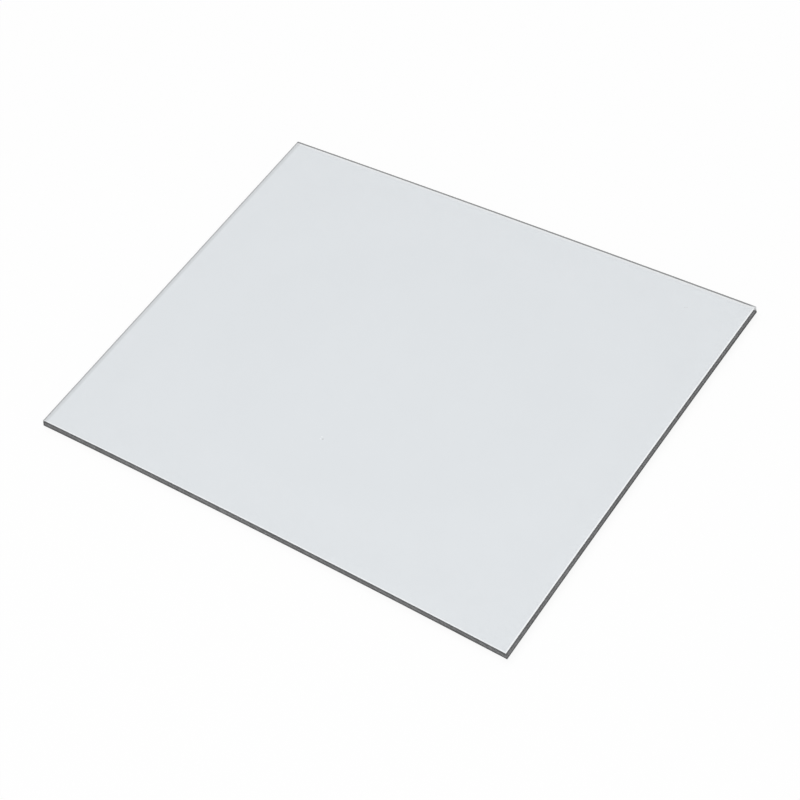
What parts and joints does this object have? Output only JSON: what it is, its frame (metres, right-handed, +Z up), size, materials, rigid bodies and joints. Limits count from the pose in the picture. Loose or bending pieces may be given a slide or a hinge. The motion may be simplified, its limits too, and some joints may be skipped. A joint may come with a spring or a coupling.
{
  "type": "silicone rubber sheet",
  "caption": "Flat rectangular sheet of translucent silicone rubber with sharp corners and square-cut edges, to be laid, cut or clamped as a gasket, pad or liner.",
  "frame": {"origin": "middle of the face that the sheet lies on", "axes": "+X along the long sides, +Y along the short sides, +Z up through the thickness"},
  "size_m": [0.2, 0.15, 0.003],
  "materials": {
    "silicone": "satin, translucent pale blue-grey, with darker cut edges"
  },
  "bodies": {
    "root": {"sheet": "silicone"}
  },
  "joints": []
}
